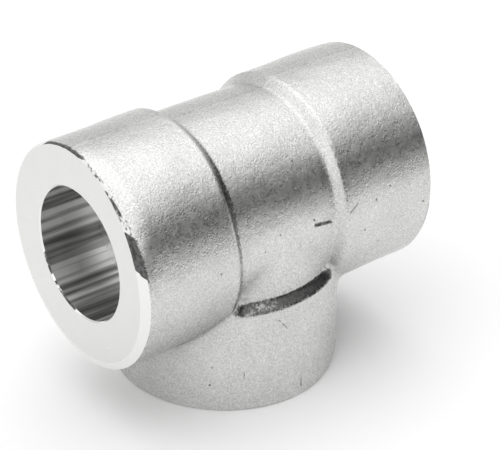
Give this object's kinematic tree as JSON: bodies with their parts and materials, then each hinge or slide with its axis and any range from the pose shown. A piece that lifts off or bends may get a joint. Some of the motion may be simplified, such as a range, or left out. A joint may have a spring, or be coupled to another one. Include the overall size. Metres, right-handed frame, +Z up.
{
  "type": "forged pipe tee",
  "caption": "Forged steel pipe tee with a socket-weld end on each arm, thick bands round the sockets and a slightly slimmer neck between them.",
  "frame": {"origin": "centre of the branch's end face, on which the tee stands", "axes": "+X along the run, +Z up the branch from its end face to where the three axes meet, +Y to the back"},
  "size_m": [0.07, 0.046, 0.058],
  "materials": {
    "forged_stainless": "shot-blasted forging skin, with bright turned end faces and sockets"
  },
  "bodies": {
    "root": {"forged_tee": "forged_stainless"}
  },
  "joints": []
}
